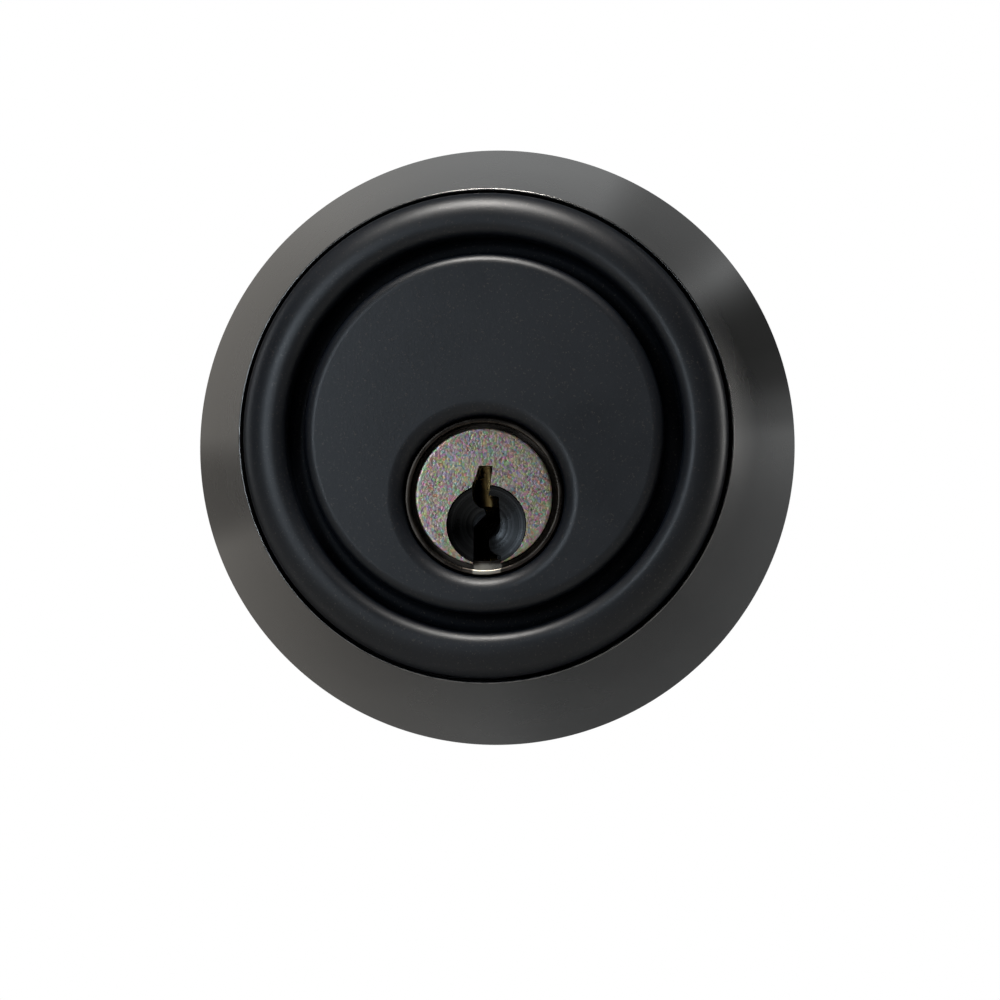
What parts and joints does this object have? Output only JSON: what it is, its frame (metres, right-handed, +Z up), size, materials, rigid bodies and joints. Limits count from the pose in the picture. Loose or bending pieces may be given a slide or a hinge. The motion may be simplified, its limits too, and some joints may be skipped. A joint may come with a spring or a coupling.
{
  "type": "tubular deadbolt lock",
  "caption": "Single-cylinder tubular deadbolt: free-spinning cone collar and keyed cylinder outside, bolt unit in the door, thumbturn with rose inside.",
  "frame": {"origin": "where the axis of the door's cross bore meets the centre line of the bolt, half way through the door", "axes": "+Y from outdoors to indoors along the cross bore, +X along the bolt towards the door's edge, +Z up"},
  "size_m": [0.092, 0.0984, 0.064],
  "materials": {
    "satin_black": "satin dark grey-black coat over metal",
    "powder_black": "matte black powder coat over cast zinc",
    "nickel": "satin nickel plate with coarse grain",
    "brass": "turned brass",
    "steel": "plain steel, lightly oiled",
    "zinc_plate": "pressed steel, zinc plated",
    "hardened_steel": "hardened steel, dark",
    "nylon": "plain white nylon"
  },
  "bodies": {
    "lock_body": {"cylinder_housing": "powder_black", "cylinder_shell": "brass", "shell_drill_pin": "hardened_steel", "spring_cover": "brass", "cylinder_retainer": "zinc_plate", "retainer_screw_1": "steel", "retainer_screw_2": "steel", "collar_spring": "steel", "pin_spring_1": "steel", "pin_spring_2": "steel", "pin_spring_3": "steel", "pin_spring_4": "steel", "pin_spring_5": "steel", "bolt_faceplate": "satin_black", "bolt_backplate": "zinc_plate", "faceplate_screw_bottom": "satin_black", "faceplate_screw_top": "satin_black", "bolt_barrel": "zinc_plate", "case_half_outer": "zinc_plate", "case_half_inner": "zinc_plate", "case_rivet_1": "steel", "case_rivet_2": "steel", "detent_spring": "steel", "mounting_plate": "zinc_plate", "interior_rose": "satin_black", "mounting_screw_bottom": "satin_black", "mounting_screw_top": "satin_black", "thumbturn_bushing": "nylon"},
    "collar": {"outer_collar": "satin_black", "guard_ring": "hardened_steel"},
    "key_plug": {"plug": "nickel", "plug_drill_pin": "hardened_steel", "cylinder_cap": "brass"},
    "key_pin_1": {"key_pin_1": "brass"},
    "key_pin_2": {"key_pin_2": "brass"},
    "key_pin_3": {"key_pin_3": "brass"},
    "key_pin_4": {"key_pin_4": "brass"},
    "key_pin_5": {"key_pin_5": "brass"},
    "driver_pin_1": {"driver_pin_1": "nickel"},
    "driver_pin_2": {"driver_pin_2": "nickel"},
    "driver_pin_3": {"driver_pin_3": "nickel"},
    "driver_pin_4": {"driver_pin_4": "nickel"},
    "driver_pin_5": {"driver_pin_5": "nickel"},
    "thumbturn": {"thumbturn_knob": "satin_black", "tailpiece": "steel", "retaining_clip": "steel", "wave_washer": "steel"},
    "cam": {"bolt_cam": "zinc_plate"},
    "bolt": {"deadbolt": "nickel", "bolt_tail": "zinc_plate", "tail_pin": "steel"},
    "saw_pin": {"saw_pin": "hardened_steel"}
  },
  "joints": [
    {"name": "collar_spin", "type": "hinge", "parent": "lock_body", "child": "collar", "pos_m": [0, -0.02225, 0], "axis": [0, 1, 0], "continuous": true},
    {"name": "plug_turn", "type": "hinge", "parent": "lock_body", "child": "key_plug", "pos_m": [0, -0.0315, -0.00635], "axis": [0, 1, 0], "range_deg": [-90, 90]},
    {"name": "key_pin_1_lift", "type": "slide", "parent": "key_plug", "child": "key_pin_1", "axis": [0, 0, 1], "range_m": [0, 0.00174]},
    {"name": "key_pin_2_lift", "type": "slide", "parent": "key_plug", "child": "key_pin_2", "axis": [0, 0, 1], "range_m": [0, 0.0025]},
    {"name": "key_pin_3_lift", "type": "slide", "parent": "key_plug", "child": "key_pin_3", "axis": [0, 0, 1], "range_m": [0, 0.00136]},
    {"name": "key_pin_4_lift", "type": "slide", "parent": "key_plug", "child": "key_pin_4", "axis": [0, 0, 1], "range_m": [0, 0.00288]},
    {"name": "key_pin_5_lift", "type": "slide", "parent": "key_plug", "child": "key_pin_5", "axis": [0, 0, 1], "range_m": [0, 0.00212]},
    {"name": "driver_pin_1_lift", "type": "slide", "parent": "lock_body", "child": "driver_pin_1", "axis": [0, 0, 1], "range_m": [0, 0.0022], "stiffness_N_per_m": 60, "springref_m": -0.002, "deforming": ["pin_spring_1"]},
    {"name": "driver_pin_2_lift", "type": "slide", "parent": "lock_body", "child": "driver_pin_2", "axis": [0, 0, 1], "range_m": [0, 0.0022], "stiffness_N_per_m": 60, "springref_m": -0.002, "deforming": ["pin_spring_2"]},
    {"name": "driver_pin_3_lift", "type": "slide", "parent": "lock_body", "child": "driver_pin_3", "axis": [0, 0, 1], "range_m": [0, 0.0022], "stiffness_N_per_m": 60, "springref_m": -0.002, "deforming": ["pin_spring_3"]},
    {"name": "driver_pin_4_lift", "type": "slide", "parent": "lock_body", "child": "driver_pin_4", "axis": [0, 0, 1], "range_m": [0, 0.0022], "stiffness_N_per_m": 60, "springref_m": -0.002, "deforming": ["pin_spring_4"]},
    {"name": "driver_pin_5_lift", "type": "slide", "parent": "lock_body", "child": "driver_pin_5", "axis": [0, 0, 1], "range_m": [0, 0.0022], "stiffness_N_per_m": 60, "springref_m": -0.002, "deforming": ["pin_spring_5"]},
    {"name": "thumbturn_turn", "type": "hinge", "parent": "lock_body", "child": "thumbturn", "pos_m": [0, 0.03, -0.00635], "axis": [0, 1, 0], "range_deg": [0, 90]},
    {"name": "cam_turn", "type": "hinge", "parent": "lock_body", "child": "cam", "pos_m": [0, 0, -0.00635], "axis": [0, 1, 0], "range_deg": [0, 90]},
    {"name": "bolt_throw", "type": "slide", "parent": "lock_body", "child": "bolt", "axis": [1, 0, 0], "range_m": [0, 0.0254]},
    {"name": "saw_pin_spin", "type": "hinge", "parent": "bolt", "child": "saw_pin", "pos_m": [0.045, 0, 0], "axis": [1, 0, 0], "continuous": true}
  ],
  "couplings": [
    {"joint": "thumbturn_turn", "follows": "bolt_throw", "rad_per_m": 61.84},
    {"joint": "cam_turn", "follows": "bolt_throw", "rad_per_m": 61.84}
  ]
}
